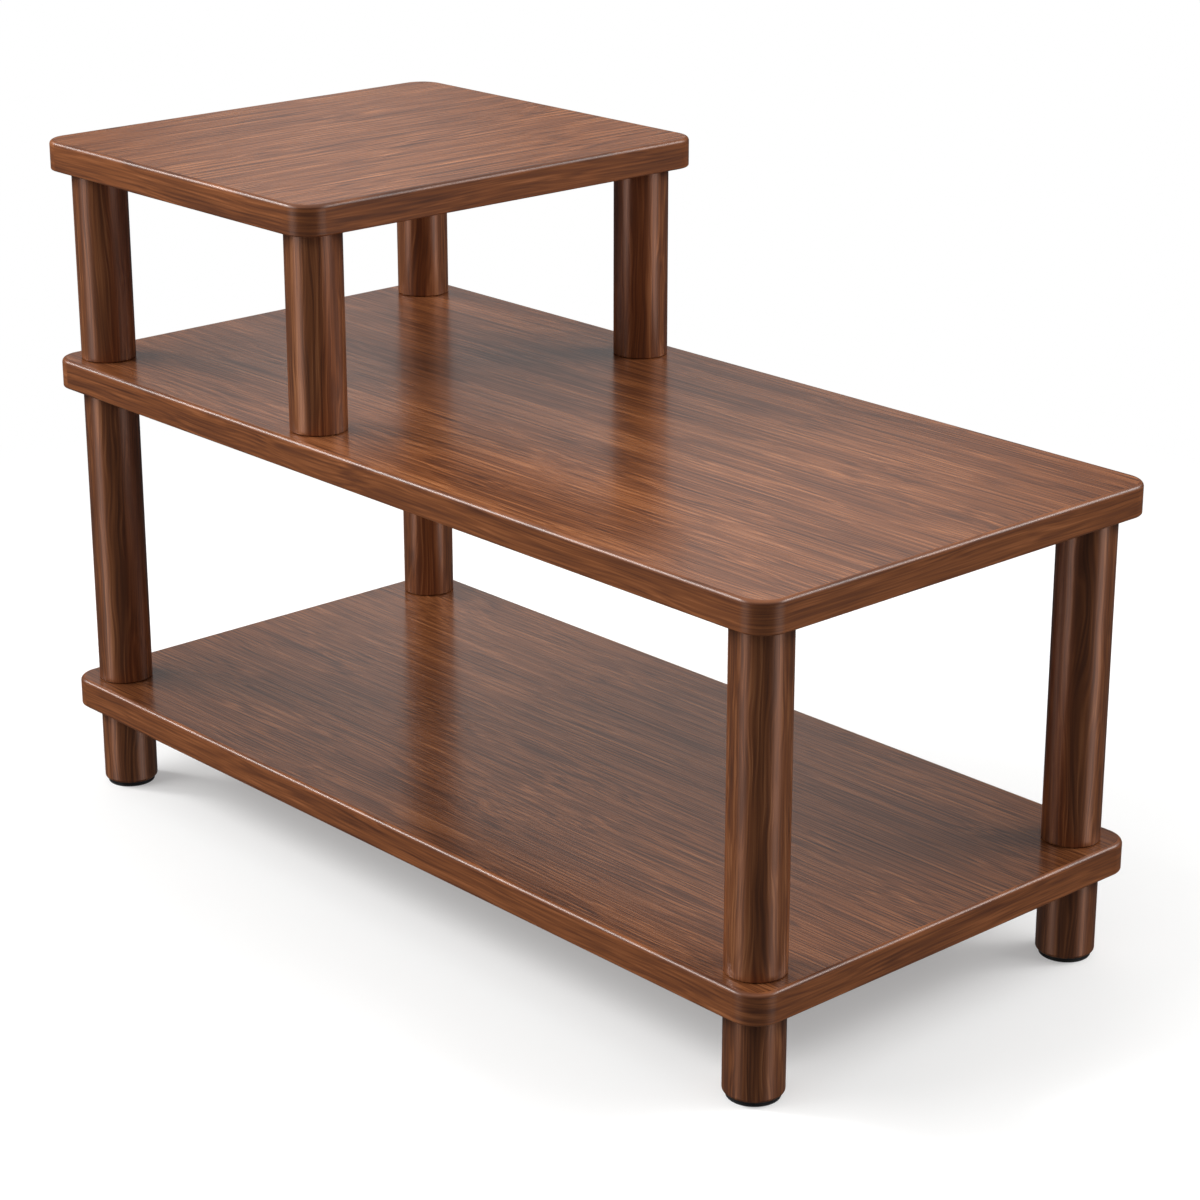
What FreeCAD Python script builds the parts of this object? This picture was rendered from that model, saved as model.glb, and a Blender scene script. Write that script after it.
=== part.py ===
import FreeCAD, Part
import math
import os

# Tiered side table: two long boards and a short raised one, carried on round posts that are
# screwed end to end through the boards.
# Millimetres. +X runs along the table with the raised tier at the -X end, +Y to the back, +Z up.
# The origin is on the floor under the middle of the long boards.

# Boards
board_length = 930.0            # bottom and middle board
board_depth = 450.0             # all three boards
top_board_length = 395.0        # raised tier, flush with the -X end
board_thickness = 27.0
corner_radius = 25.0            # upright corners
top_edge_round = 4.0
bottom_edge_round = 1.5

# Posts
post_diameter = 50.0
post_edge_margin = 13.0         # bare board between a post and the board's edge
leg_height = 76.0               # wood only, without the foot pad
lower_post_height = 288.0
upper_post_height = 176.0
post_end_round = 1.5            # ends that meet a board
leg_foot_round = 3.0

# Foot pads and their countersunk screws
pad_thickness = 4.0
pad_inset = 3.0                 # the pad is this much smaller than the leg all round
pad_edge_round = 0.8
screw_diameter = 4.0
screw_length = 25.0
screw_head_diameter = 8.0
screw_head_recess = 0.8         # head below the pad's underside
screw_pad_clearance = 0.2
screw_wood_clearance = 0.1
screw_hole_spare = 2.0          # pilot hole beyond the screw's tip
cross_recess_span = 4.4
cross_recess_width = 1.0
cross_recess_depth = 1.0

# Threaded inserts, in the post ends and blind in the boards' undersides
insert_diameter = 12.0
insert_recess = 0.5             # insert below the wood's surface
insert_wood_clearance = 0.1
insert_hole_spare = 1.0         # hole beyond the insert's inner end
post_insert_length = 20.0
board_insert_length = 14.0

# Studs and bolts share one thread
thread_diameter = 8.0
thread_clearance = 0.1          # thread in an insert
thread_board_clearance = 0.5    # thread through a board
thread_tip_chamfer = 0.8
thread_setback = 3.0            # thread stops this far short of the insert's inner end

# Bolts with washers, from the middle board's underside into the inner upper posts
bolt_head_diameter = 13.0
bolt_head_height = 8.0
bolt_head_recess = 2.0          # head below the board's underside
bolt_head_chamfer = 0.8
hex_socket_width = 6.0          # across flats
hex_socket_depth = 4.0
washer_diameter = 16.0
washer_thickness = 1.6
washer_clearance = 0.2
counterbore_clearance = 2.0     # round the washer

# Heights of the undersides, from the floor up
bottom_board_z = pad_thickness + leg_height
lower_post_z = bottom_board_z + board_thickness
middle_board_z = lower_post_z + lower_post_height
upper_post_z = middle_board_z + board_thickness
top_board_z = upper_post_z + upper_post_height

# Post centres
board_end_x = board_length / 2
post_inset = post_edge_margin + post_diameter / 2
left_x = -board_end_x + post_inset
right_x = board_end_x - post_inset
inner_x = -board_end_x + top_board_length - post_inset
back_y = board_depth / 2 - post_inset
row_y = {"front": -back_y, "back": back_y}
corner_x = {"left": left_x, "right": right_x}
tier_x = {"left": left_x, "inner": inner_x}

# How far a thread reaches past the face of a post or a board into its insert
post_reach = insert_recess + post_insert_length - thread_setback
board_reach = insert_recess + board_insert_length - thread_setback

level_tolerance = 0.001


def cylinder(diameter, height, x, y, z):
    return Part.makeCylinder(diameter / 2, height, FreeCAD.Vector(x, y, z))


# Edges that lie in the plane at height z
def level_edges(shape, z):
    low = z - level_tolerance
    high = z + level_tolerance
    return [edge for edge in shape.Edges if edge.BoundBox.ZMin > low and edge.BoundBox.ZMax < high]


def upright_edges(box, height):
    return [edge for edge in box.Edges if edge.BoundBox.ZLength > height - level_tolerance]


def carve(solid, tools):
    for tool in tools:
        solid = solid.cut(tool)
    return solid.Solids[0]


def places(columns):
    return [(x, y) for y in row_y.values() for x in columns]


# A board from the -X end, with its underside at z
def rounded_board(length, z):
    start = FreeCAD.Vector(-board_end_x, -board_depth / 2, z)
    board = Part.makeBox(length, board_depth, board_thickness, start)
    board = board.makeFillet(corner_radius, upright_edges(board, board_thickness))
    board = board.makeFillet(top_edge_round, level_edges(board, z + board_thickness))
    return board.makeFillet(bottom_edge_round, level_edges(board, z))


def round_post(x, y, z, height, lower_end_round):
    post = cylinder(post_diameter, height, x, y, z)
    post = post.makeFillet(lower_end_round, level_edges(post, z))
    return post.makeFillet(post_end_round, level_edges(post, z + height))


# Hole for an insert that goes up or down from the wood's face at z
def insert_hole(x, y, z, length, upwards):
    depth = insert_recess + length + insert_hole_spare
    base = z if upwards else z - depth
    return cylinder(insert_diameter + 2 * insert_wood_clearance, depth, x, y, base)


def threaded_insert(x, y, z, length, upwards):
    base = z + insert_recess if upwards else z - insert_recess - length
    sleeve = cylinder(insert_diameter, length, x, y, base)
    return sleeve.cut(cylinder(thread_diameter + 2 * thread_clearance, length, x, y, base))


def stud(x, y, low, high):
    rod = cylinder(thread_diameter, high - low, x, y, low)
    return rod.makeChamfer(thread_tip_chamfer, level_edges(rod, low) + level_edges(rod, high))


# Clearance hole right through a board
def thread_hole(x, y, board_z):
    return cylinder(thread_diameter + 2 * thread_board_clearance, board_thickness, x, y, board_z)


def counterbore(x, y):
    depth = bolt_head_recess + bolt_head_height + washer_thickness
    return cylinder(washer_diameter + 2 * counterbore_clearance, depth, x, y, middle_board_z)


def washer(x, y):
    z = middle_board_z + bolt_head_recess + bolt_head_height
    disc = cylinder(washer_diameter, washer_thickness, x, y, z)
    return disc.cut(cylinder(thread_diameter + 2 * washer_clearance, washer_thickness, x, y, z))


def hex_prism(width, height, x, y, z):
    radius = width / math.sqrt(3)
    angles = [math.radians(60 * step) for step in range(7)]
    points = [FreeCAD.Vector(x + radius * math.cos(a), y + radius * math.sin(a), z) for a in angles]
    return Part.Face(Part.makePolygon(points)).extrude(FreeCAD.Vector(0, 0, height))


def socket_bolt(x, y):
    head_z = middle_board_z + bolt_head_recess
    shank_z = head_z + bolt_head_height
    tip_z = upper_post_z + post_reach
    head = cylinder(bolt_head_diameter, bolt_head_height, x, y, head_z)
    head = head.makeChamfer(bolt_head_chamfer, level_edges(head, head_z))
    shank = cylinder(thread_diameter, tip_z - shank_z, x, y, shank_z)
    shank = shank.makeChamfer(thread_tip_chamfer, level_edges(shank, tip_z))
    bolt = head.fuse(shank).removeSplitter()
    return carve(bolt, [hex_prism(hex_socket_width, hex_socket_depth, x, y, head_z)])


# Countersunk cone with its wide end down, and a straight stretch of hole or shank above it
def countersunk(x, y, z, clearance, height):
    head_radius = screw_head_diameter / 2 + clearance
    shank_radius = screw_diameter / 2 + clearance
    cone_height = head_radius - shank_radius
    cone = Part.makeCone(head_radius, shank_radius, cone_height, FreeCAD.Vector(x, y, z))
    return cone.fuse(cylinder(2 * shank_radius, height, x, y, z)).removeSplitter()


def cross_recess(x, y):
    slots = []
    for span_x, span_y in [(cross_recess_span, cross_recess_width), (cross_recess_width, cross_recess_span)]:
        corner = FreeCAD.Vector(x - span_x / 2, y - span_y / 2, screw_head_recess)
        slots.append(Part.makeBox(span_x, span_y, cross_recess_depth, corner))
    return slots


def pad_screw(x, y):
    return carve(countersunk(x, y, screw_head_recess, 0.0, screw_length), cross_recess(x, y))


def foot_pad(x, y):
    pad = cylinder(post_diameter - 2 * pad_inset, pad_thickness, x, y, 0.0)
    pad = pad.makeFillet(pad_edge_round, level_edges(pad, 0.0))
    mouth_diameter = screw_head_diameter + 2 * screw_pad_clearance
    mouth = cylinder(mouth_diameter, screw_head_recess, x, y, 0.0)
    return carve(pad, [mouth, countersunk(x, y, screw_head_recess, screw_pad_clearance, pad_thickness)])


def screw_hole(x, y):
    depth = screw_head_recess + screw_length + screw_hole_spare - pad_thickness
    return cylinder(screw_diameter + 2 * screw_wood_clearance, depth, x, y, pad_thickness)


def leg(x, y):
    wood = round_post(x, y, pad_thickness, leg_height, leg_foot_round)
    top_hole = insert_hole(x, y, bottom_board_z, post_insert_length, False)
    return carve(wood, [screw_hole(x, y), top_hole])


# A post with an insert hole in each end
def drilled_post(x, y, z, height):
    wood = round_post(x, y, z, height, post_end_round)
    low_hole = insert_hole(x, y, z, post_insert_length, True)
    high_hole = insert_hole(x, y, z + height, post_insert_length, False)
    return carve(wood, [low_hole, high_hole])


def post_inserts(columns, z, upwards):
    return [threaded_insert(x, y, z, post_insert_length, upwards) for x, y in places(columns)]


def blind_inserts(columns, z):
    return [threaded_insert(x, y, z, board_insert_length, True) for x, y in places(columns)]


def blind_holes(columns, z):
    return [insert_hole(x, y, z, board_insert_length, True) for x, y in places(columns)]


def make_boards():
    bottom_holes = [thread_hole(x, y, bottom_board_z) for x, y in places(corner_x.values())]
    middle_holes = [thread_hole(x, y, middle_board_z) for x, y in places(tier_x.values())]
    middle_holes += [counterbore(x, y) for x, y in places([inner_x])]
    middle_holes += blind_holes([right_x], middle_board_z)
    top_holes = blind_holes(tier_x.values(), top_board_z)
    return {
        "bottom_shelf": carve(rounded_board(board_length, bottom_board_z), bottom_holes),
        "middle_shelf": carve(rounded_board(board_length, middle_board_z), middle_holes),
        "top_shelf": carve(rounded_board(top_board_length, top_board_z), top_holes),
    }


def make_posts():
    posts = {}
    for row, y in row_y.items():
        for side, x in corner_x.items():
            posts[f"leg_{row}_{side}"] = leg(x, y)
            posts[f"foot_pad_{row}_{side}"] = foot_pad(x, y)
            posts[f"lower_post_{row}_{side}"] = drilled_post(x, y, lower_post_z, lower_post_height)
        for side, x in tier_x.items():
            posts[f"upper_post_{row}_{side}"] = drilled_post(x, y, upper_post_z, upper_post_height)
    return posts


def make_inserts():
    corners = corner_x.values()
    tier = tier_x.values()
    return {
        "leg_inserts": post_inserts(corners, bottom_board_z, False),
        "lower_post_bottom_inserts": post_inserts(corners, lower_post_z, True),
        "lower_post_top_inserts": post_inserts(corners, middle_board_z, False),
        "upper_post_bottom_inserts": post_inserts(tier, upper_post_z, True),
        "upper_post_top_inserts": post_inserts(tier, top_board_z, False),
        "middle_shelf_inserts": blind_inserts([right_x], middle_board_z),
        "top_shelf_inserts": blind_inserts(tier, top_board_z),
    }


# Studs between a lower and an upper height, in each column
def studs(columns, low, high):
    return [stud(x, y, low, high) for x, y in places(columns)]


def make_fasteners():
    below_middle = middle_board_z - post_reach
    return {
        "bottom_shelf_studs": studs(corner_x.values(), bottom_board_z - post_reach, lower_post_z + post_reach),
        "middle_shelf_through_studs": studs([left_x], below_middle, upper_post_z + post_reach),
        "middle_shelf_blind_studs": studs([right_x], below_middle, middle_board_z + board_reach),
        "top_shelf_studs": studs(tier_x.values(), top_board_z - post_reach, top_board_z + board_reach),
        "inner_post_bolts": [socket_bolt(x, y) for x, y in places([inner_x])],
        "inner_post_washers": [washer(x, y) for x, y in places([inner_x])],
        "foot_pad_screws": [pad_screw(x, y) for x, y in places(corner_x.values())],
    }


os.makedirs("parts", exist_ok=True)
for name, solid in {**make_boards(), **make_posts()}.items():
    solid.exportStep(f"parts/{name}.step")
for name, solids in {**make_inserts(), **make_fasteners()}.items():
    Part.makeCompound(solids).exportStep(f"parts/{name}.step")
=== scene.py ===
import bmesh
import bpy
import math
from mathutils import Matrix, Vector


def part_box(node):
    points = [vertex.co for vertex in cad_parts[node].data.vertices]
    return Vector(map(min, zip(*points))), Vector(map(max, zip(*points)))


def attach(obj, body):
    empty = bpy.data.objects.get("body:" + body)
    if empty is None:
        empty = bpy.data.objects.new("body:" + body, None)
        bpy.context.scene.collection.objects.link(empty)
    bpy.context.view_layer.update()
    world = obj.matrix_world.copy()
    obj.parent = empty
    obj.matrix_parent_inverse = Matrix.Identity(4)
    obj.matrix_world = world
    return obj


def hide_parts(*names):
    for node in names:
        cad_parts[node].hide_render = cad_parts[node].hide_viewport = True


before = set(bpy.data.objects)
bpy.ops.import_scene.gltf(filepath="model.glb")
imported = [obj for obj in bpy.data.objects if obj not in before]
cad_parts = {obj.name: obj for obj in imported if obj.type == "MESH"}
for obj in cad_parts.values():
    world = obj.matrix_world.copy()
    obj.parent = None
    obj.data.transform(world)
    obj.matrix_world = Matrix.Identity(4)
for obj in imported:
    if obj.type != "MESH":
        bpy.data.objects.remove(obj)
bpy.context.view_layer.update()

# Tiered side table in lacquered walnut: three boards on round posts, legs with black rubber pads.
# Metres, +X along the table with the raised tier at the -X end, +Y to the back, +Z up.

mm = 0.001
weldDistance = 0.001 * mm


# sRGB hex to the linear colour that the sockets take
def linearColour(hexText):
    channels = [int(hexText[at:at + 2], 16) / 255 for at in (1, 3, 5)]
    linear = [c / 12.92 if c <= 0.04045 else ((c + 0.055) / 1.055) ** 2.4 for c in channels]
    return (*linear, 1.0)


def pickSocket(sockets, key):
    if isinstance(key, int):
        return sockets[key]
    return next(socket for socket in sockets if socket.enabled and socket.name == key)


# Adds one node to a shader or geometry tree: links maps input names to nodes, sockets or plain values
def addNode(tree, kind, links=None, **settings):
    node = tree.nodes.new(kind)
    for name, value in settings.items():
        setattr(node, name, value)
    for key, source in (links or {}).items():
        target = pickSocket(node.inputs, key)
        if isinstance(source, bpy.types.Node):
            source = next(socket for socket in source.outputs if socket.enabled)
        if isinstance(source, bpy.types.NodeSocket):
            tree.links.new(source, target)
        else:
            target.default_value = source
    return node


def outputOf(node, name):
    return pickSocket(node.outputs, name)


def emptyMaterial(name):
    material = bpy.data.materials.new(name)
    material.use_nodes = True
    material.node_tree.nodes.clear()
    return material


def compassVector(azimuth, elevation):
    turn = math.radians(azimuth)
    rise = math.radians(elevation)
    return Vector((math.sin(turn) * math.cos(rise), -math.cos(turn) * math.cos(rise), math.sin(rise)))


# A camera or lamp that faces its target from a compass direction and distance
def standFacing(name, data, place):
    holder = bpy.data.objects.new(name, data)
    bpy.context.scene.collection.objects.link(holder)
    back = compassVector(place["azimuth"], place["elevation"])
    holder.location = Vector(place["target"]) + back * place["distance"]
    holder.rotation_euler = back.to_track_quat("Z", "Y").to_euler()
    return holder


camera = {
    "azimuth": 47.83,       # degrees from the front towards +X
    "elevation": 19.55,
    "distance": 2.6115,
    "target": (0.1219, -0.0717, 0.300),
    "lens": 93.47,          # millimetres, as is the sensor's width
    "sensor": 36.0,
    "farthest": 50.0,
}


def makeCamera():
    lens = bpy.data.cameras.new("camera")
    lens.lens = camera["lens"]
    lens.sensor_width = camera["sensor"]
    lens.clip_end = camera["farthest"]
    bpy.context.scene.camera = standFacing("camera", lens, camera)


makeCamera()
bpy.context.scene.view_settings.view_transform = "Standard"
print("camera set")


studio = {
    "white": "#ffffff",
    "roomLight": 0.05,
    "floorWidth": 16.0,
    "floorColour": "#f6f6f5",
    "floorBounce": 0.32,    # light that the floor sends back up
    "paperFill": 0.34,      # share of plain white in the floor's shadows
    "fadeStart": 0.75,      # between these distances from its middle the floor turns plain white
    "fadeEnd": 1.50,
}
# Soft bright patches of the room: compass direction, height, strength, and the degrees from their middle
# where they start to fade and have gone
glows = {
    "overhead": (0.0, 90.0, 0.95, 20.0, 70.0),
    "backdrop": (225.5, 21.0, 0.95, 3.0, 9.5),
    "backdropLeft": (236.0, 20.0, 0.75, 2.5, 7.0),
    "backdropSpot": (233.0, 12.0, 0.48, 1.5, 4.5),
    "leftStrip": (-15.0, -11.0, 1.9, 5.0, 19.0),
    "rightStrip": (106.0, -12.0, 2.0, 6.0, 20.0),
    "leftRim": (-60.0, 33.0, 34.0, 3.0, 9.0),
    "rightRim": (147.0, 36.0, 13.0, 3.0, 9.0),
}
lampTarget = (0.0, 0.0, 0.3)
# Softboxes with their width and height in metres
lamps = {
    "leftBox": {
        "azimuth": -36.0, "elevation": 31.0, "distance": 2.8, "target": lampTarget,
        "size": (2.4, 0.8), "watts": 55.0,
    },
    "rightBox": {
        "azimuth": 138.0, "elevation": 31.0, "distance": 2.8, "target": lampTarget,
        "size": (2.4, 0.9), "watts": 46.0,
    },
}


# White to the camera; to the table, a dim room with soft bright patches
def makeWorld():
    world = bpy.data.worlds.new("studioRoom")
    bpy.context.scene.world = world
    world.use_nodes = True
    tree = world.node_tree
    tree.nodes.clear()
    white = linearColour(studio["white"])
    direction = addNode(tree, "ShaderNodeTexCoord")
    level = studio["roomLight"]
    for azimuth, elevation, strength, inner, outer in glows.values():
        facing = addNode(tree, "ShaderNodeVectorMath", {
            0: outputOf(direction, "Generated"), 1: compassVector(azimuth, elevation),
        }, operation="DOT_PRODUCT")
        glow = addNode(tree, "ShaderNodeMapRange", {
            "Value": outputOf(facing, "Value"), "To Min": 0.0, "To Max": strength,
            "From Min": math.cos(math.radians(outer)), "From Max": math.cos(math.radians(inner)),
        }, interpolation_type="SMOOTHSTEP")
        level = addNode(tree, "ShaderNodeMath", {0: level, 1: glow}, operation="ADD")
    path = addNode(tree, "ShaderNodeLightPath")
    room = addNode(tree, "ShaderNodeBackground", {"Color": white, "Strength": level})
    backdrop = addNode(tree, "ShaderNodeBackground", {"Color": white, "Strength": 1.0})
    seen = addNode(tree, "ShaderNodeMixShader", {0: outputOf(path, "Is Camera Ray"), 1: room, 2: backdrop})
    addNode(tree, "ShaderNodeOutputWorld", {"Surface": seen})


# Paper that takes the table's shadow and turns plain white further out; to the table, an even glow
def floorMaterial():
    material = emptyMaterial("paperSweep")
    material.cycles.emission_sampling = "NONE"
    tree = material.node_tree
    white = linearColour(studio["white"])
    place = addNode(tree, "ShaderNodeTexCoord")
    path = addNode(tree, "ShaderNodeLightPath")
    bounce = addNode(tree, "ShaderNodeEmission", {"Color": white, "Strength": studio["floorBounce"]})
    paper = addNode(tree, "ShaderNodeBsdfDiffuse", {"Color": linearColour(studio["floorColour"])})
    backdrop = addNode(tree, "ShaderNodeEmission", {"Color": white, "Strength": 1.0})
    reach = addNode(tree, "ShaderNodeVectorMath", {0: outputOf(place, "Object")}, operation="LENGTH")
    fade = addNode(tree, "ShaderNodeMapRange", {
        "Value": outputOf(reach, "Value"), "To Min": studio["paperFill"],
        "From Min": studio["fadeStart"], "From Max": studio["fadeEnd"],
    }, interpolation_type="SMOOTHSTEP")
    seen = addNode(tree, "ShaderNodeMixShader", {0: fade, 1: paper, 2: backdrop})
    surface = addNode(tree, "ShaderNodeMixShader", {0: outputOf(path, "Is Camera Ray"), 1: bounce, 2: seen})
    addNode(tree, "ShaderNodeOutputMaterial", {"Surface": surface})
    return material


def makeFloor():
    half = studio["floorWidth"] / 2
    outline = [(-half, -half, 0), (half, -half, 0), (half, half, 0), (-half, half, 0)]
    mesh = bpy.data.meshes.new("floor")
    mesh.from_pydata(outline, [], [(0, 1, 2, 3)])
    mesh.materials.append(floorMaterial())
    floor = bpy.data.objects.new("floor", mesh)
    bpy.context.scene.collection.objects.link(floor)
    floor.visible_glossy = False        # the lacquer mirrors the room instead


def makeLamps():
    for name, spec in lamps.items():
        light = bpy.data.lights.new(name, "AREA")
        light.shape = "RECTANGLE"
        light.size, light.size_y = spec["size"]
        light.energy = spec["watts"]
        lamp = standFacing(name, light, spec)
        lamp.visible_camera = False


makeWorld()
makeFloor()
makeLamps()
print("studio set")


# Walnut under a satin lacquer: rippling brown and orange streaks with dark lines between them, a faint warm
# gloss from the wood itself, and a thin clear one from the lacquer over it
walnutBoard = {
    # the stain's colours from dark to light, and where each lies along the tone
    "colours": (
        (0.00, "#4c2b1c"), (0.30, "#663b24"), (0.55, "#7e4a2a"), (0.78, "#925935"), (1.00, "#aa6e46"),
    ),
    # the brightness of this copy of the walnut: its tone, and on the top and bottom boards also painted light
    # and painted shade
    "toneAndPaintedLight": 0.86,
    # width and length of each kind of streak in millimetres, and how strongly it shows
    "figure": (20.0, 400.0, 1.10),
    "streaks": (4.0, 180.0, 0.40),
    "lines": (0.65, 130.0, 2.25),
    "pores": (0.8, 40.0, 0.30),         # wider than real pores, which would not show
    "poreLevels": (0.56, 0.70),         # noise where a pore begins, and where it is full
    # how far the grain sways to the side in millimetres, and over what width and length
    "sway": (7.0, 70.0, 260.0),
    "ripple": (1.4, 9.0, 60.0),
    "roughness": (0.26, 0.34), "ior": 1.5,
    "gloss": 0.08, "glossTint": "#c08058",      # the wood's own, under the lacquer's coat
    "coat": 0.40, "coatRoughness": 0.18, "coatIor": 1.5,
    "bump": 0.08,                       # millimetres
}
# The raised tier: painted lighter, standing in for the stronger light on it, with narrower figure and
# stronger lines
walnutTopPaintedLight = {
    **walnutBoard, "toneAndPaintedLight": 1.12,
    "figure": (14.0, 300.0, 0.40), "streaks": (2.4, 200.0, 0.34), "lines": (0.6, 150.0, 3.1),
    "ripple": (1.1, 9.0, 70.0),
}
# The bottom board: painted darker, standing in for the shade of the board above it, and with quieter figure
walnutBottomPaintedShade = {
    **walnutBoard, "toneAndPaintedLight": 0.64,
    "figure": (18.0, 400.0, 0.55), "streaks": (4.0, 180.0, 0.38),
}
# The boards' edging: short soft streaks and almost no relief, so that its highlight stays clean
walnutEdge = {
    **walnutBoard, "toneAndPaintedLight": 0.95,
    "figure": (9.0, 200.0, 0.75), "streaks": (2.6, 90.0, 0.50), "lines": (0.9, 40.0, 1.2),
    "sway": (5.0, 40.0, 130.0),
    "roughness": (0.30, 0.38), "coat": 0.66, "coatRoughness": 0.34, "bump": 0.01,
}
# The turned posts: upright streaks, and a strong warm gloss along their sides
walnutPost = {
    **walnutBoard, "toneAndPaintedLight": 0.69,
    "figure": (9.0, 260.0, 1.1), "streaks": (2.8, 110.0, 1.2), "lines": (0.9, 60.0, 2.1),
    "sway": (4.5, 24.0, 130.0), "ripple": (2.0, 8.0, 45.0),
    "roughness": (0.34, 0.46), "ior": 1.65, "gloss": 1.0, "glossTint": "#ffa97c",
    "coat": 0.66, "coatRoughness": 0.28,
}
# Each noise in the wood: its detail, and a shift that keeps it apart from the others
noises = {
    "figure": (2.0, 0.0), "streaks": (2.0, 11.0), "lines": (1.0, 23.0),
    "pores": (1.0, 37.0), "sway": (1.0, 3.0), "ripple": (1.0, 7.0),
}
noiseScale = 0.5            # a streak is half a cell of the noise
noiseRoughness = 0.6
noiseSpan = (0.25, 0.75)    # nearly all of a noise lies between these
middleTone = 0.5


# Noise drawn out along the grain: width and length in millimetres
def grainNoise(tree, grain, layer, width, length):
    detail, shift = noises[layer]
    stretched = addNode(tree, "ShaderNodeMapping", {
        "Vector": grain, "Location": (shift, shift, shift),
        "Scale": (1 / (length * mm), 1 / (width * mm), 1 / (width * mm)),
    })
    return addNode(tree, "ShaderNodeTexNoise", {
        "Vector": stretched, "Scale": noiseScale, "Detail": detail, "Roughness": noiseRoughness,
    })


# Moves the grain sideways, as far as the layer reaches
def bendGrain(tree, grain, layer, look):
    reach, width, length = look[layer]
    wave = grainNoise(tree, grain, layer, width, length)
    sideways = addNode(tree, "ShaderNodeMapRange", {
        "Value": wave, "From Min": noiseSpan[0], "From Max": noiseSpan[1],
        "To Min": -reach * mm, "To Max": reach * mm,
    })
    offset = addNode(tree, "ShaderNodeCombineXYZ", {"Y": sideways, "Z": sideways})
    return addNode(tree, "ShaderNodeVectorMath", {0: grain, 1: offset}, operation="ADD")


def walnut(name, look):
    # the stain's colours scaled by this copy's brightness, which on the top and bottom boards is painted
    # light and painted shade
    def stainWithToneAndPaintedLight(hexText):
        return tuple(channel * look["toneAndPaintedLight"] for channel in linearColour(hexText)[:3]) + (1.0,)

    material = emptyMaterial(name)
    tree = material.node_tree
    place = addNode(tree, "ShaderNodeAttribute", attribute_name="grain")
    grain = bendGrain(tree, outputOf(place, "Vector"), "sway", look)
    grain = bendGrain(tree, grain, "ripple", look)

    tone = middleTone
    for layer in ("figure", "streaks", "lines"):
        width, length, strength = look[layer]
        noise = grainNoise(tree, grain, layer, width, length)
        swing = addNode(tree, "ShaderNodeMath", {0: noise, 1: middleTone}, operation="SUBTRACT")
        tone = addNode(tree, "ShaderNodeMath", {0: swing, 1: strength, 2: tone}, operation="MULTIPLY_ADD")
    stain = [(position, stainWithToneAndPaintedLight(hexText)) for position, hexText in look["colours"]]
    ramp = addNode(tree, "ShaderNodeValToRGB", {"Fac": tone})
    stops = ramp.color_ramp.elements
    stops.remove(stops[1])
    stops[0].position, stops[0].color = stain[0]
    for position, colour in stain[1:]:
        stops.new(position).color = colour

    width, length, strength = look["pores"]
    begins, full = look["poreLevels"]
    pores = grainNoise(tree, grain, "pores", width, length)
    dark = addNode(tree, "ShaderNodeMapRange", {
        "Value": pores, "From Min": begins, "From Max": full, "To Min": 0.0, "To Max": strength,
    })
    colour = addNode(tree, "ShaderNodeMix", {"Factor": dark, "A": ramp, "B": stain[0][1]}, data_type="RGBA")
    smoothest, roughest = look["roughness"]
    rough = addNode(tree, "ShaderNodeMapRange", {"Value": tone, "To Min": roughest, "To Max": smoothest})
    bump = addNode(tree, "ShaderNodeBump", {"Height": tone, "Distance": look["bump"] * mm})
    shader = addNode(tree, "ShaderNodeBsdfPrincipled", {
        "Base Color": outputOf(colour, "Result"), "Roughness": rough, "IOR": look["ior"], "Normal": bump,
        "Specular IOR Level": look["gloss"], "Specular Tint": linearColour(look["glossTint"]),
        "Coat Weight": look["coat"], "Coat Roughness": look["coatRoughness"], "Coat IOR": look["coatIor"],
    })
    addNode(tree, "ShaderNodeOutputMaterial", {"Surface": shader})
    return material


# Moulded rubber: near black and matt, with a fine pebbled grain and faint dusty clouds
padRubber = {
    "colours": ("#141415", "#222223"),
    "cloud": 8.0,           # millimetres, as are the bump and the grain's widths along X, Y and Z
    "grain": (0.7, 0.7, 0.7),
    "roughness": (0.60, 0.80),
    "bump": 0.05,
    "shader": {"IOR": 1.52},
}
# Turned brass: warm yellow metal with fine tool lines round it and slightly tarnished patches
insertBrass = {
    "colours": ("#9c7636", "#c9a45e"),
    "cloud": 5.0,
    "grain": (6.0, 6.0, 0.3),
    "roughness": (0.24, 0.40),
    "bump": 0.01,
    "shader": {"Metallic": 1.0},
}
# Zinc-plated steel: cool pale metal, a little cloudy from the bath, with a soft gloss
fastenerZinc = {
    "colours": ("#9fa4a8", "#c8cacb"),
    "cloud": 2.5,
    "grain": (5.0, 5.0, 0.4),
    "roughness": (0.28, 0.44),
    "bump": 0.01,
    "shader": {"Metallic": 1.0},
}
cloudDetail = 3.0
cloudSpan = (0.3, 0.7)      # noise where the first colour ends and the second is full
finishGrainDetail = 2.0


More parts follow.
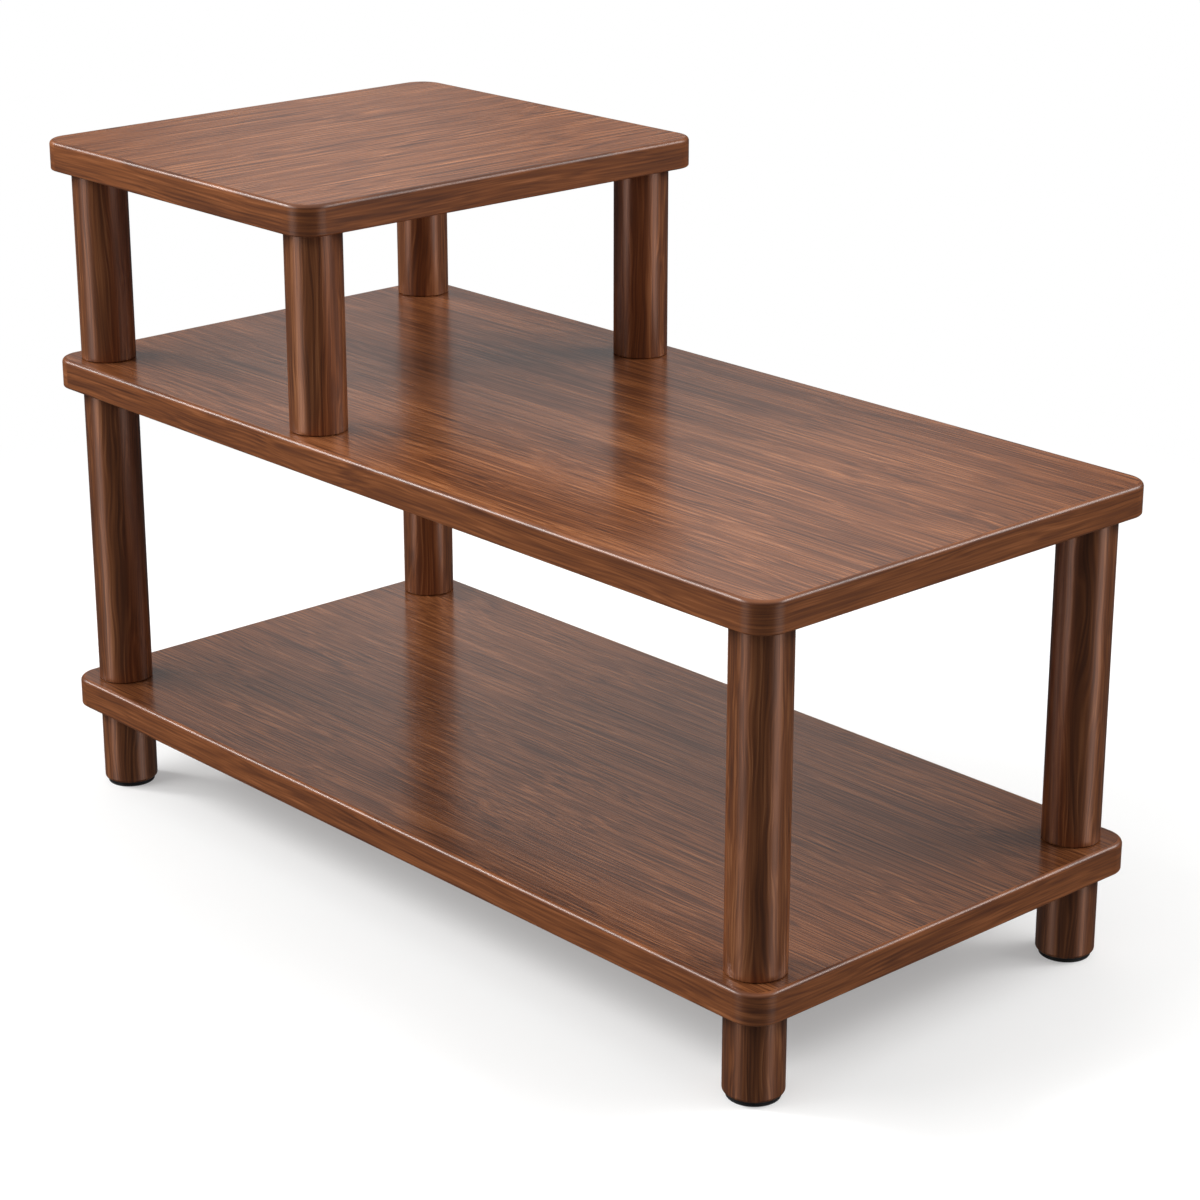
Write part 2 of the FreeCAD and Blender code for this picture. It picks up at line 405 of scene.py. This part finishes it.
def cloudedFinish(name, look):
    material = emptyMaterial(name)
    tree = material.node_tree
    place = outputOf(addNode(tree, "ShaderNodeTexCoord"), "Object")
    cloud = addNode(tree, "ShaderNodeTexNoise", {
        "Vector": place, "Scale": 1 / (look["cloud"] * mm), "Detail": cloudDetail,
    })
    spread = addNode(tree, "ShaderNodeMapRange", {
        "Value": cloud, "From Min": cloudSpan[0], "From Max": cloudSpan[1],
    })
    low, high = (linearColour(hexText) for hexText in look["colours"])
    colour = addNode(tree, "ShaderNodeMix", {"Factor": spread, "A": low, "B": high}, data_type="RGBA")
    smoothest, roughest = look["roughness"]
    rough = addNode(tree, "ShaderNodeMapRange", {"Value": spread, "To Min": roughest, "To Max": smoothest})
    drawn = addNode(tree, "ShaderNodeMapping", {
        "Vector": place, "Scale": tuple(1 / (width * mm) for width in look["grain"]),
    })
    grain = addNode(tree, "ShaderNodeTexNoise", {
        "Vector": drawn, "Scale": noiseScale, "Detail": finishGrainDetail,
    })
    bump = addNode(tree, "ShaderNodeBump", {"Height": grain, "Distance": look["bump"] * mm})
    shader = addNode(tree, "ShaderNodeBsdfPrincipled", {
        "Base Color": outputOf(colour, "Result"), "Roughness": rough, "Normal": bump, **look["shader"],
    })
    addNode(tree, "ShaderNodeOutputMaterial", {"Surface": shader})
    return material


boardWood = walnut("satinLacqueredWalnut", walnutBoard)
topWoodPaintedLight = walnut("satinLacqueredWalnutTopPaintedLight", walnutTopPaintedLight)
bottomWoodPaintedShade = walnut("satinLacqueredWalnutBottomPaintedShade", walnutBottomPaintedShade)
edgeWood = walnut("satinLacqueredWalnutEdging", walnutEdge)
postWood = walnut("satinLacqueredWalnutTurned", walnutPost)
rubber = cloudedFinish("mouldedBlackRubber", padRubber)
brass = cloudedFinish("turnedBrass", insertBrass)
zinc = cloudedFinish("zincPlatedSteel", fastenerZinc)
print("finishes made")


# How finely the pieces are cut
facets = {
    "postSides": 128,
    "cornerSteps": 23,      # round each corner of a board
    "roundSteps": 10,       # across a rounded rim
    "holeSides": 48,
    "threadSides": 24,
    "threadRings": 6.0,     # for each turn of the thread
    "turnedSides": 96,      # pads, washers and the heads of screws and bolts
    "profileSteps": 6,      # in a quarter round of their profile
}
rimAngle = math.radians(60)         # a rim is where two faces meet at more than this
creaseAngle = math.radians(35)      # and a crease in the shading here
roundUnit = 10 * mm                 # a bevel weight of 1 is this radius


# Starts a geometry tree with named inputs of the given kinds, and gives it with its input node
def startTree(name, inputs):
    tree = bpy.data.node_groups.new(name, "GeometryNodeTree")
    for title, kind in {**inputs, "Material": "Material"}.items():
        tree.interface.new_socket(title, in_out="INPUT", socket_type=f"NodeSocket{kind}")
    tree.interface.new_socket("Geometry", in_out="OUTPUT", socket_type="NodeSocketGeometry")
    return tree, addNode(tree, "NodeGroupInput")


# Ends it with real geometry in the material
def endTree(tree, given, geometry):
    real = addNode(tree, "GeometryNodeRealizeInstances", {"Geometry": geometry})
    dressed = addNode(tree, "GeometryNodeSetMaterial", {
        "Geometry": real, "Material": outputOf(given, "Material"),
    })
    addNode(tree, "NodeGroupOutput", {"Geometry": dressed})
    return tree


# Real copies of a shape, Count of them from First on, one Step apart
def copiesInRow(tree, given, shape):
    row = addNode(tree, "GeometryNodeMeshLine", {
        "Count": outputOf(given, "Count"),
        "Start Location": outputOf(given, "First"), "Offset": outputOf(given, "Step"),
    })
    copies = addNode(tree, "GeometryNodeInstanceOnPoints", {"Points": row, "Instance": shape})
    return addNode(tree, "GeometryNodeRealizeInstances", {"Geometry": copies})


rowInputs = {"Geometry": "Geometry", "First": "Vector", "Step": "Vector", "Count": "Int"}


def postOutline(tree, given):
    radius = addNode(tree, "ShaderNodeMath", {0: outputOf(given, "Diameter"), 1: 0.5}, operation="MULTIPLY")
    return addNode(tree, "GeometryNodeCurvePrimitiveCircle", {
        "Resolution": facets["postSides"], "Radius": radius,
    })


def boardOutline(tree, given):
    sharp = addNode(tree, "GeometryNodeCurvePrimitiveQuadrilateral", {
        "Width": outputOf(given, "Length"), "Height": outputOf(given, "Depth"),
    })
    return addNode(tree, "GeometryNodeFilletCurve", {
        "Curve": sharp, "Radius": outputOf(given, "Corner Radius"), "Count": facets["cornerSteps"],
    }, mode="POLY")


# Flat outline, filled and drawn up to a closed blank whose rims carry the weights of their rounds
def blankTree(name, sizes, makeOutline):
    inputs = dict.fromkeys((*sizes, "Height", "Lower Round", "Upper Round"), "Float")
    tree, given = startTree(name, {**inputs, "Base": "Vector"})
    height = outputOf(given, "Height")
    sheet = addNode(tree, "GeometryNodeFillCurve", {"Curve": makeOutline(tree, given)}, mode="NGONS")
    underside = addNode(tree, "GeometryNodeFlipFaces", {"Mesh": sheet})
    rise = addNode(tree, "ShaderNodeCombineXYZ", {"Z": height})
    drawn = addNode(tree, "GeometryNodeExtrudeMesh", {
        "Mesh": sheet, "Offset": rise, "Individual": False,
    }, mode="FACES")
    both = addNode(tree, "GeometryNodeJoinGeometry")
    tree.links.new(underside.outputs[0], both.inputs[0])
    tree.links.new(outputOf(drawn, "Mesh"), both.inputs[0])
    closed = addNode(tree, "GeometryNodeMergeByDistance", {"Geometry": both, "Distance": weldDistance})

    angle = addNode(tree, "GeometryNodeInputMeshEdgeAngle")
    isRim = addNode(tree, "ShaderNodeMath", {
        0: outputOf(angle, "Unsigned Angle"), 1: rimAngle,
    }, operation="GREATER_THAN")
    place = addNode(tree, "ShaderNodeSeparateXYZ", {"Vector": addNode(tree, "GeometryNodeInputPosition")})
    half = addNode(tree, "ShaderNodeMath", {0: height, 1: 0.5}, operation="MULTIPLY")
    isUpper = addNode(tree, "ShaderNodeMath", {0: outputOf(place, "Z"), 1: half}, operation="GREATER_THAN")
    radius = addNode(tree, "ShaderNodeMix", {
        "Factor": isUpper, "A": outputOf(given, "Lower Round"), "B": outputOf(given, "Upper Round"),
    }, data_type="FLOAT")
    scaled = addNode(tree, "ShaderNodeMath", {
        0: outputOf(radius, "Result"), 1: 1 / roundUnit,
    }, operation="MULTIPLY")
    weight = addNode(tree, "ShaderNodeMath", {0: scaled, 1: isRim}, operation="MULTIPLY")
    weighted = addNode(tree, "GeometryNodeStoreNamedAttribute", {
        "Geometry": closed, "Name": "bevel_weight_edge", "Value": weight,
    }, data_type="FLOAT", domain="EDGE")
    placed = addNode(tree, "GeometryNodeTransform", {
        "Geometry": weighted, "Translation": outputOf(given, "Base"),
    })
    return endTree(tree, given, placed)


# Holes cut in a row; Depth is measured both ways from the mouth
def holesTree():
    sizes = {"Sides": "Int", "Diameter": "Float", "Depth": "Float"}
    tree, given = startTree("drilledHoles", {**rowInputs, **sizes})
    radius = addNode(tree, "ShaderNodeMath", {0: outputOf(given, "Diameter"), 1: 0.5}, operation="MULTIPLY")
    length = addNode(tree, "ShaderNodeMath", {0: outputOf(given, "Depth"), 1: 2.0}, operation="MULTIPLY")
    drill = addNode(tree, "GeometryNodeMeshCylinder", {
        "Vertices": outputOf(given, "Sides"), "Radius": radius, "Depth": length,
    })
    cut = addNode(tree, "GeometryNodeMeshBoolean", {
        "Mesh 1": outputOf(given, "Geometry"), "Mesh 2": copiesInRow(tree, given, outputOf(drill, "Mesh")),
    }, operation="DIFFERENCE", solver="EXACT")
    return endTree(tree, given, outputOf(cut, "Mesh"))


# Threaded rods in a row: cylinders pressed in along a helix, with tapered ends
def threadTree():
    sizes = dict.fromkeys(("Diameter", "Pitch", "Thread Depth", "Taper", "Length"), "Float")
    tree, given = startTree("threadedRods", {**rowInputs, **sizes})
    length = outputOf(given, "Length")
    pitch = outputOf(given, "Pitch")
    radius = addNode(tree, "ShaderNodeMath", {0: outputOf(given, "Diameter"), 1: 0.5}, operation="MULTIPLY")
    turns = addNode(tree, "ShaderNodeMath", {0: length, 1: pitch}, operation="DIVIDE")
    rings = addNode(tree, "ShaderNodeMath", {0: turns, 1: facets["threadRings"]}, operation="MULTIPLY")
    rod = addNode(tree, "GeometryNodeMeshCylinder", {
        "Vertices": facets["threadSides"], "Side Segments": rings, "Radius": radius, "Depth": length,
    })
    position = addNode(tree, "GeometryNodeInputPosition")
    place = addNode(tree, "ShaderNodeSeparateXYZ", {"Vector": position})

    # how far through its turn the thread is here, as a zigzag from crest to root
    angle = addNode(tree, "ShaderNodeMath", {
        0: outputOf(place, "Y"), 1: outputOf(place, "X"),
    }, operation="ARCTAN2")
    share = addNode(tree, "ShaderNodeMath", {0: angle, 1: 2 * math.pi}, operation="DIVIDE")
    climb = addNode(tree, "ShaderNodeMath", {0: outputOf(place, "Z"), 1: pitch}, operation="DIVIDE")
    phase = addNode(tree, "ShaderNodeMath", {0: climb, 1: share}, operation="SUBTRACT")
    tooth = addNode(tree, "ShaderNodeMath", {0: phase, 1: 0.5}, operation="PINGPONG")
    doubled = addNode(tree, "ShaderNodeMath", {0: tooth, 1: 2.0}, operation="MULTIPLY")
    pressed = addNode(tree, "ShaderNodeMath", {
        0: doubled, 1: outputOf(given, "Thread Depth"),
    }, operation="MULTIPLY")

    # and how far the rod narrows near its ends
    away = addNode(tree, "ShaderNodeMath", {0: outputOf(place, "Z")}, operation="ABSOLUTE")
    half = addNode(tree, "ShaderNodeMath", {0: length, 1: 0.5}, operation="MULTIPLY")
    toEnd = addNode(tree, "ShaderNodeMath", {0: half, 1: away}, operation="SUBTRACT")
    short = addNode(tree, "ShaderNodeMath", {0: outputOf(given, "Taper"), 1: toEnd}, operation="SUBTRACT")
    tapered = addNode(tree, "ShaderNodeMath", {0: short, 1: 0.0}, operation="MAXIMUM")

    inwards = addNode(tree, "ShaderNodeMath", {0: pressed, 1: tapered}, operation="ADD")
    factor = addNode(tree, "ShaderNodeMath", {0: inwards, 1: radius}, operation="DIVIDE")
    toAxis = addNode(tree, "ShaderNodeVectorMath", {0: position, 1: (-1.0, -1.0, 0.0)}, operation="MULTIPLY")
    offset = addNode(tree, "ShaderNodeVectorMath", {0: toAxis, "Scale": factor}, operation="SCALE")
    threaded = addNode(tree, "GeometryNodeSetPosition", {"Geometry": outputOf(rod, "Mesh"), "Offset": offset})
    both = addNode(tree, "GeometryNodeJoinGeometry")
    tree.links.new(copiesInRow(tree, given, threaded).outputs[0], both.inputs[0])
    tree.links.new(outputOf(given, "Geometry"), both.inputs[0])
    return endTree(tree, given, both)


# Cross recesses in a row, cut by two blades each; Depth is measured both ways from the face
def crossTree():
    sizes = dict.fromkeys(("Span", "Width", "Depth"), "Float")
    tree, given = startTree("crossRecesses", {**rowInputs, **sizes})
    depth = addNode(tree, "ShaderNodeMath", {0: outputOf(given, "Depth"), 1: 2.0}, operation="MULTIPLY")
    head = outputOf(given, "Geometry")
    for alongX, alongY in (("Span", "Width"), ("Width", "Span")):
        size = addNode(tree, "ShaderNodeCombineXYZ", {
            "X": outputOf(given, alongX), "Y": outputOf(given, alongY), "Z": depth,
        })
        blade = addNode(tree, "GeometryNodeMeshCube", {"Size": size})
        cut = addNode(tree, "GeometryNodeMeshBoolean", {
            "Mesh 1": head, "Mesh 2": copiesInRow(tree, given, outputOf(blade, "Mesh")),
        }, operation="DIFFERENCE", solver="EXACT")
        head = outputOf(cut, "Mesh")
    return endTree(tree, given, head)


# Welded, smooth faces, with a crease wherever two of them meet at more than Crease Angle
def creaseTree():
    tree, given = startTree("creasedShading", {"Geometry": "Geometry", "Crease Angle": "Float"})
    welded = addNode(tree, "GeometryNodeMergeByDistance", {
        "Geometry": outputOf(given, "Geometry"), "Distance": weldDistance,
    })
    smooth = addNode(tree, "GeometryNodeSetShadeSmooth", {"Geometry": welded}, domain="FACE")
    angle = addNode(tree, "GeometryNodeInputMeshEdgeAngle")
    steep = addNode(tree, "ShaderNodeMath", {
        0: outputOf(angle, "Unsigned Angle"), 1: outputOf(given, "Crease Angle"),
    }, operation="GREATER_THAN")
    creased = addNode(tree, "GeometryNodeSetShadeSmooth", {
        "Geometry": smooth, "Selection": steep, "Shade Smooth": False,
    }, domain="EDGE")
    return endTree(tree, given, creased)


boardBlank = blankTree("boardBlank", ("Length", "Depth", "Corner Radius"), boardOutline)
turnedBlank = blankTree("turnedBlank", ("Diameter",), postOutline)
drilledHoles = holesTree()
threadedRods = threadTree()
crossRecesses = crossTree()
creasedShading = creaseTree()


def addTree(holder, tree, values):
    modifier = holder.modifiers.new(tree.name, "NODES")
    modifier.node_group = tree
    for item in tree.interface.items_tree:
        if item.in_out == "INPUT" and item.name in values:
            modifier[item.identifier] = values[item.name]


# Rounds the rims that carry a bevel weight
def addRounds(holder):
    rounds = holder.modifiers.new("rounds", "BEVEL")
    rounds.limit_method = "WEIGHT"
    rounds.offset_type = "OFFSET"
    rounds.width = roundUnit
    rounds.segments = facets["roundSteps"]
    rounds.use_clamp_overlap = False


# Works a mesh through its steps, trees with their values or rounds, and keeps the result as a plain mesh
def makePiece(node, suffix, material, steps, start=None):
    name = f"{node}_{suffix}"
    holder = bpy.data.objects.new("workpiece", start or bpy.data.meshes.new("workpiece"))
    bpy.context.scene.collection.objects.link(holder)
    for step in steps:
        if step == "rounds":
            addRounds(holder)
        else:
            tree, values = step
            addTree(holder, tree, {**values, "Material": material})
    addTree(holder, creasedShading, {"Crease Angle": creaseAngle, "Material": material})
    even = holder.modifiers.new("evenNormals", "WEIGHTED_NORMAL")
    even.keep_sharp = True
    mesh = bpy.data.meshes.new_from_object(holder.evaluated_get(bpy.context.evaluated_depsgraph_get()))
    bpy.data.objects.remove(holder)
    mesh.name = name
    mesh.materials.clear()
    mesh.materials.append(material)
    piece = bpy.data.objects.new(name, mesh)
    bpy.context.scene.collection.objects.link(piece)
    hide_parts(node)
    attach(piece, "root")
    return mesh


def middleOf(node):
    low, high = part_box(node)
    return (low + high) / 2


# Middles of the posts: the three columns along the table, and the front row
leftX = middleOf("lower_post_front_left").x
rightX = middleOf("lower_post_front_right").x
innerX = middleOf("upper_post_front_inner").x
frontY = middleOf("lower_post_front_left").y
corners = (leftX, rightX)
tier = (leftX, innerX)


# Places in a row: count of them from first on, one step apart
def placeRow(first, step=(0, 0, 0), count=1):
    return {"First": Vector(first), "Step": Vector(step), "Count": count}


# The front and the back post of one column, at height z
def columnRow(x, z):
    return placeRow((x, frontY, z), (0, -2 * frontY, 0), 2)


def drill(places, diameter, depth, sides=facets["holeSides"]):
    return drilledHoles, {**places, "Diameter": diameter, "Depth": depth, "Sides": sides}


# Threaded rods in one column, from height low to high
def rodPair(x, low, high, thread):
    return threadedRods, {**columnRow(x, (low + high) / 2), **thread, "Length": high - low}


boards = {
    "cornerRadius": 25 * mm,
    "upperRound": 4 * mm,
    "lowerRound": 1.5 * mm,
    "throughHole": 9 * mm,
    "insertHole": 12.2 * mm,
    "insertDepth": 15.5 * mm,
    "counterbore": 20 * mm,
    "counterboreDepth": 11.6 * mm,
    "edgingShift": 0.5,     # how far the edging's grain lies from the board's
    "levelFace": 0.999,     # a face whose normal rises this steeply is flat board and no edging
}
# Each board's wood, the axis that its grain runs along, and how far on it is cut, in metres
boardCuts = {
    "bottom_shelf": {"wood": bottomWoodPaintedShade, "axis": "x", "shift": 0.0},
    "middle_shelf": {"wood": boardWood, "axis": "x", "shift": 2.0},
    "top_shelf": {"wood": topWoodPaintedLight, "axis": "y", "shift": 4.0},
}


# Distance along a rounded outline from the middle of its back edge, and how far inside it a point lies
def outlinePlace(point, low, high):
    radius = boards["cornerRadius"]
    middle = (low + high) / 2
    reachX = (high.x - low.x) / 2 - radius
    reachY = (high.y - low.y) / 2 - radius
    x = abs(point.x - middle.x)
    y = point.y - middle.y
    coreX = min(reachX, x)
    coreY = max(-reachY, min(reachY, y))
    away = Vector((x - coreX, y - coreY))
    if away.length < weldDistance:
        return 0.0, radius
    turn = math.atan2(away.x, away.y)      # 0 at the back edge, half a turn at the front one
    along = coreX + radius * turn + reachY - coreY
    if turn > math.pi / 2:
        along += 2 * (reachX - coreX)
    return math.copysign(along, point.x - middle.x), radius - away.length


# Writes where each face corner lies in the wood, with x along the grain and y and z across it
def layGrain(mesh, place):
    grain = mesh.attributes.new("grain", "FLOAT_VECTOR", "CORNER")
    values = []
    for face in mesh.polygons:
        for loop in face.loop_indices:
            values.extend(place(face, mesh.vertices[mesh.loops[loop].vertex_index].co))
    grain.data.foreach_set("vector", values)


def makeBoard(node, holes):
    low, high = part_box(node)
    size = high - low
    cutting = boardCuts[node]
    blank = {
        "Length": size.x, "Depth": size.y, "Corner Radius": boards["cornerRadius"], "Height": size.z,
        "Lower Round": boards["lowerRound"], "Upper Round": boards["upperRound"],
        "Base": Vector(((low.x + high.x) / 2, (low.y + high.y) / 2, low.z)),
    }
    steps = [(boardBlank, blank), "rounds", *holes]
    mesh = makePiece(node, "walnut", cutting["wood"], steps)
    mesh.materials.append(edgeWood)
    # the round corners are shorter than the square ones that they replace
    perimeter = 2 * (size.x + size.y) - (8 - 2 * math.pi) * boards["cornerRadius"]

    def isEdging(face):
        depth = outlinePlace(face.center, low, high)[1]
        return abs(face.normal.z) < boards["levelFace"] and depth < boards["upperRound"]

    # the edging's grain runs on round the corners, and faces at the front's middle are kept whole
    def place(face, point):
        if face.material_index == 1:
            along = outlinePlace(point, low, high)[0]
            middle = outlinePlace(face.center, low, high)[0]
            if along - middle > perimeter / 2:
                along -= perimeter
            if middle - along > perimeter / 2:
                along += perimeter
            return along, point.z, cutting["shift"] + boards["edgingShift"]
        if cutting["axis"] == "x":
            return point.x, point.y, cutting["shift"] + point.z
        return point.y, point.x, cutting["shift"] + point.z

    for face in mesh.polygons:
        face.material_index = 1 if isEdging(face) else 0
    layGrain(mesh, place)


# Holes are drilled from a board's underside; twice its thickness takes a drill right through
def makeBoards():
    low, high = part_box("bottom_shelf")
    through = 2 * (high.z - low.z)
    makeBoard("bottom_shelf", [drill(columnRow(x, low.z), boards["throughHole"], through) for x in corners])
    low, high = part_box("middle_shelf")
    through = 2 * (high.z - low.z)
    makeBoard("middle_shelf", [
        drill(columnRow(leftX, low.z), boards["throughHole"], through),
        drill(columnRow(innerX, low.z), boards["throughHole"], through),
        drill(columnRow(innerX, low.z), boards["counterbore"], boards["counterboreDepth"]),
        drill(columnRow(rightX, low.z), boards["insertHole"], boards["insertDepth"]),
    ])
    low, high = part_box("top_shelf")
    makeBoard("top_shelf", [
        drill(columnRow(x, low.z), boards["insertHole"], boards["insertDepth"]) for x in tier
    ])


makeBoards()
print("boards made")


posts = {
    "endRound": 1.5 * mm,
    "footRound": 3 * mm,
    "insertHole": 12.2 * mm,
    "insertDepth": 21.5 * mm,
    "screwHole": 4.2 * mm,
    "screwDepth": 23.8 * mm,
    # where the first post and leg are cut from the wood, in metres, and how much further on the next
    "postCut": (0.31, 0.53),
    "legCut": (6.0, 0.37),
}


def makePost(node, lowerRound, holes, shift):
    low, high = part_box(node)
    middle = (low + high) / 2
    blank = {
        "Diameter": high.x - low.x, "Height": high.z - low.z,
        "Lower Round": lowerRound, "Upper Round": posts["endRound"],
        "Base": Vector((middle.x, middle.y, low.z)),
    }
    mesh = makePiece(node, "walnut", postWood, [(turnedBlank, blank), "rounds", *holes])
    layGrain(mesh, lambda face, point: (point.z + shift, point.x, point.y))


def makePosts():
    first, further = posts["postCut"]
    names = [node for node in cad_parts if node.startswith(("lower_post_", "upper_post_"))]
    names = sorted(node for node in names if not node.endswith("inserts"))
    for at, node in enumerate(names):
        low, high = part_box(node)
        middle = (low + high) / 2
        ends = placeRow((middle.x, middle.y, low.z), (0, 0, high.z - low.z), 2)
        holes = [drill(ends, posts["insertHole"], posts["insertDepth"])]
        makePost(node, posts["endRound"], holes, first + further * at)


def makeLegs():
    first, further = posts["legCut"]
    names = sorted(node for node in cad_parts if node.startswith("leg_") and node != "leg_inserts")
    for at, node in enumerate(names):
        low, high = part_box(node)
        middle = (low + high) / 2
        holes = [
            drill(placeRow((middle.x, middle.y, high.z)), posts["insertHole"], posts["insertDepth"]),
            drill(placeRow((middle.x, middle.y, low.z)), posts["screwHole"], posts["screwDepth"]),
        ]
        makePost(node, posts["footRound"], holes, first + further * at)


makePosts()
makeLegs()
print("posts made")


# Points of a quarter round in a profile, from one direction to another in degrees
def quarterRound(radius, height, size, start, end):
    steps = facets["profileSteps"]
    turns = [math.radians(start + (end - start) * step / steps) for step in range(steps + 1)]
    return [(radius + size * math.cos(turn), height + size * math.sin(turn)) for turn in turns]


# Shells turned about upright axes from one profile of radii and heights, a ring where it is closed
def turnedMesh(profile, closed, places):
    work = bmesh.new()
    for x, y in places:
        verts = [work.verts.new((x + radius, y, height)) for radius, height in profile]
        pairs = list(zip(verts, verts[1:]))
        if closed:
            pairs.append((verts[-1], verts[0]))
        edges = [work.edges.new(pair) for pair in pairs]
        bmesh.ops.spin(
            work, geom=verts + edges, cent=(x, y, 0), axis=(0, 0, 1),
            angle=2 * math.pi, steps=facets["turnedSides"], use_merge=True,
        )
    bmesh.ops.remove_doubles(work, verts=work.verts, dist=weldDistance)
    bmesh.ops.recalc_face_normals(work, faces=work.faces)
    mesh = bpy.data.meshes.new("turned")
    work.to_mesh(mesh)
    work.free()
    return mesh


pads = {"edgeRound": 0.8 * mm, "bore": 4.4 * mm, "mouth": 8.4 * mm, "mouthDepth": 0.8 * mm}


def makePads():
    names = [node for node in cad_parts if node.startswith("foot_pad_") and node != "foot_pad_screws"]
    for node in sorted(names):
        low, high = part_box(node)
        middle = (low + high) / 2
        outer = (high.x - low.x) / 2
        bore = pads["bore"] / 2
        mouth = pads["mouth"] / 2
        edge = pads["edgeRound"]
        seat = low.z + pads["mouthDepth"]
        profile = [
            (bore, high.z), (bore, seat + mouth - bore), (mouth, seat), (mouth, low.z),
            *quarterRound(outer - edge, low.z + edge, edge, -90, 0),
            (outer, high.z),
        ]
        shell = turnedMesh(profile, True, [(middle.x, middle.y)])
        makePiece(node, "rubber", rubber, [], shell)


makePads()


machineThread = {"Diameter": 8.0 * mm, "Pitch": 1.25 * mm, "Thread Depth": 0.65 * mm, "Taper": 0.8 * mm}
studColumns = {
    "bottom_shelf_studs": corners,
    "middle_shelf_through_studs": [leftX],
    "middle_shelf_blind_studs": [rightX],
    "top_shelf_studs": tier,
}


def makeStuds():
    for node, columns in studColumns.items():
        low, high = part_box(node)
        rods = [rodPair(x, low.z, high.z, machineThread) for x in columns]
        makePiece(node, "thread", zinc, rods)


inserts = {
    "thread": {"Diameter": 12.0 * mm, "Pitch": 3.0 * mm, "Thread Depth": 1.0 * mm, "Taper": 0.6 * mm},
    "bore": 8.2 * mm,
}
insertColumns = {
    "leg_inserts": corners,
    "lower_post_bottom_inserts": corners,
    "lower_post_top_inserts": corners,
    "upper_post_bottom_inserts": tier,
    "upper_post_top_inserts": tier,
    "middle_shelf_inserts": [rightX],
    "top_shelf_inserts": tier,
}


def makeInserts():
    for node, columns in insertColumns.items():
        low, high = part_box(node)
        middle = (low.z + high.z) / 2
        rods = [rodPair(x, low.z, high.z, inserts["thread"]) for x in columns]
        bores = [drill(columnRow(x, middle), inserts["bore"], high.z - low.z) for x in columns]
        makePiece(node, "brass", brass, rods + bores)


makeInserts()
makeStuds()


screws = {
    "head": 8.0 * mm,
    "shank": 4.0 * mm,
    "shankSink": 0.5 * mm,      # how far the shank starts inside the head
    "cross": {"Span": 4.4 * mm, "Width": 1.0 * mm, "Depth": 1.0 * mm},
    "thread": {"Diameter": 4.0 * mm, "Pitch": 1.4 * mm, "Thread Depth": 0.6 * mm, "Taper": 1.4 * mm},
}


def makePadScrews():
    low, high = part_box("foot_pad_screws")
    outer = screws["head"] / 2
    inner = screws["shank"] / 2
    seat = low.z + outer - inner
    profile = [(0.0, low.z), (outer, low.z), (inner, seat), (0.0, seat)]
    heads = turnedMesh(profile, False, [(x, y) for x in corners for y in (frontY, -frontY)])
    recesses = [(crossRecesses, {**columnRow(x, low.z), **screws["cross"]}) for x in corners]
    shanks = [rodPair(x, seat - screws["shankSink"], high.z, screws["thread"]) for x in corners]
    makePiece("foot_pad_screws", "zinc", zinc, recesses + shanks, heads)


bolts = {
    "head": 13.0 * mm,
    "headHeight": 8.0 * mm,
    "edgeRound": 0.8 * mm,
    "socket": 6.0 * mm,         # across flats
    "socketDepth": 4.0 * mm,
    "shankSink": 1.0 * mm,
}
washers = {"bore": 8.4 * mm, "edgeRound": 0.25 * mm}
innerPlaces = [(innerX, frontY), (innerX, -frontY)]


def makeBolts():
    low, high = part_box("inner_post_bolts")
    outer = bolts["head"] / 2
    edge = bolts["edgeRound"]
    shoulder = low.z + bolts["headHeight"]
    profile = [
        (0.0, low.z), *quarterRound(outer - edge, low.z + edge, edge, -90, 0),
        (outer, shoulder), (0.0, shoulder),
    ]
    acrossCorners = bolts["socket"] / math.cos(math.radians(30))
    socket = drill(columnRow(innerX, low.z), acrossCorners, bolts["socketDepth"], sides=6)
    shank = rodPair(innerX, shoulder - bolts["shankSink"], high.z, machineThread)
    heads = turnedMesh(profile, False, innerPlaces)
    makePiece("inner_post_bolts", "zinc", zinc, [socket, shank], heads)


def makeWashers():
    low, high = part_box("inner_post_washers")
    outer = (high.x - low.x) / 2
    bore = washers["bore"] / 2
    edge = washers["edgeRound"]
    profile = [
        (bore, high.z), (bore, low.z),
        *quarterRound(outer - edge, low.z + edge, edge, -90, 0),
        *quarterRound(outer - edge, high.z - edge, edge, 0, 90),
    ]
    rings = turnedMesh(profile, True, innerPlaces)
    makePiece("inner_post_washers", "zinc", zinc, [], rings)


makePadScrews()
makeBolts()
makeWashers()
print("pads and fasteners made")
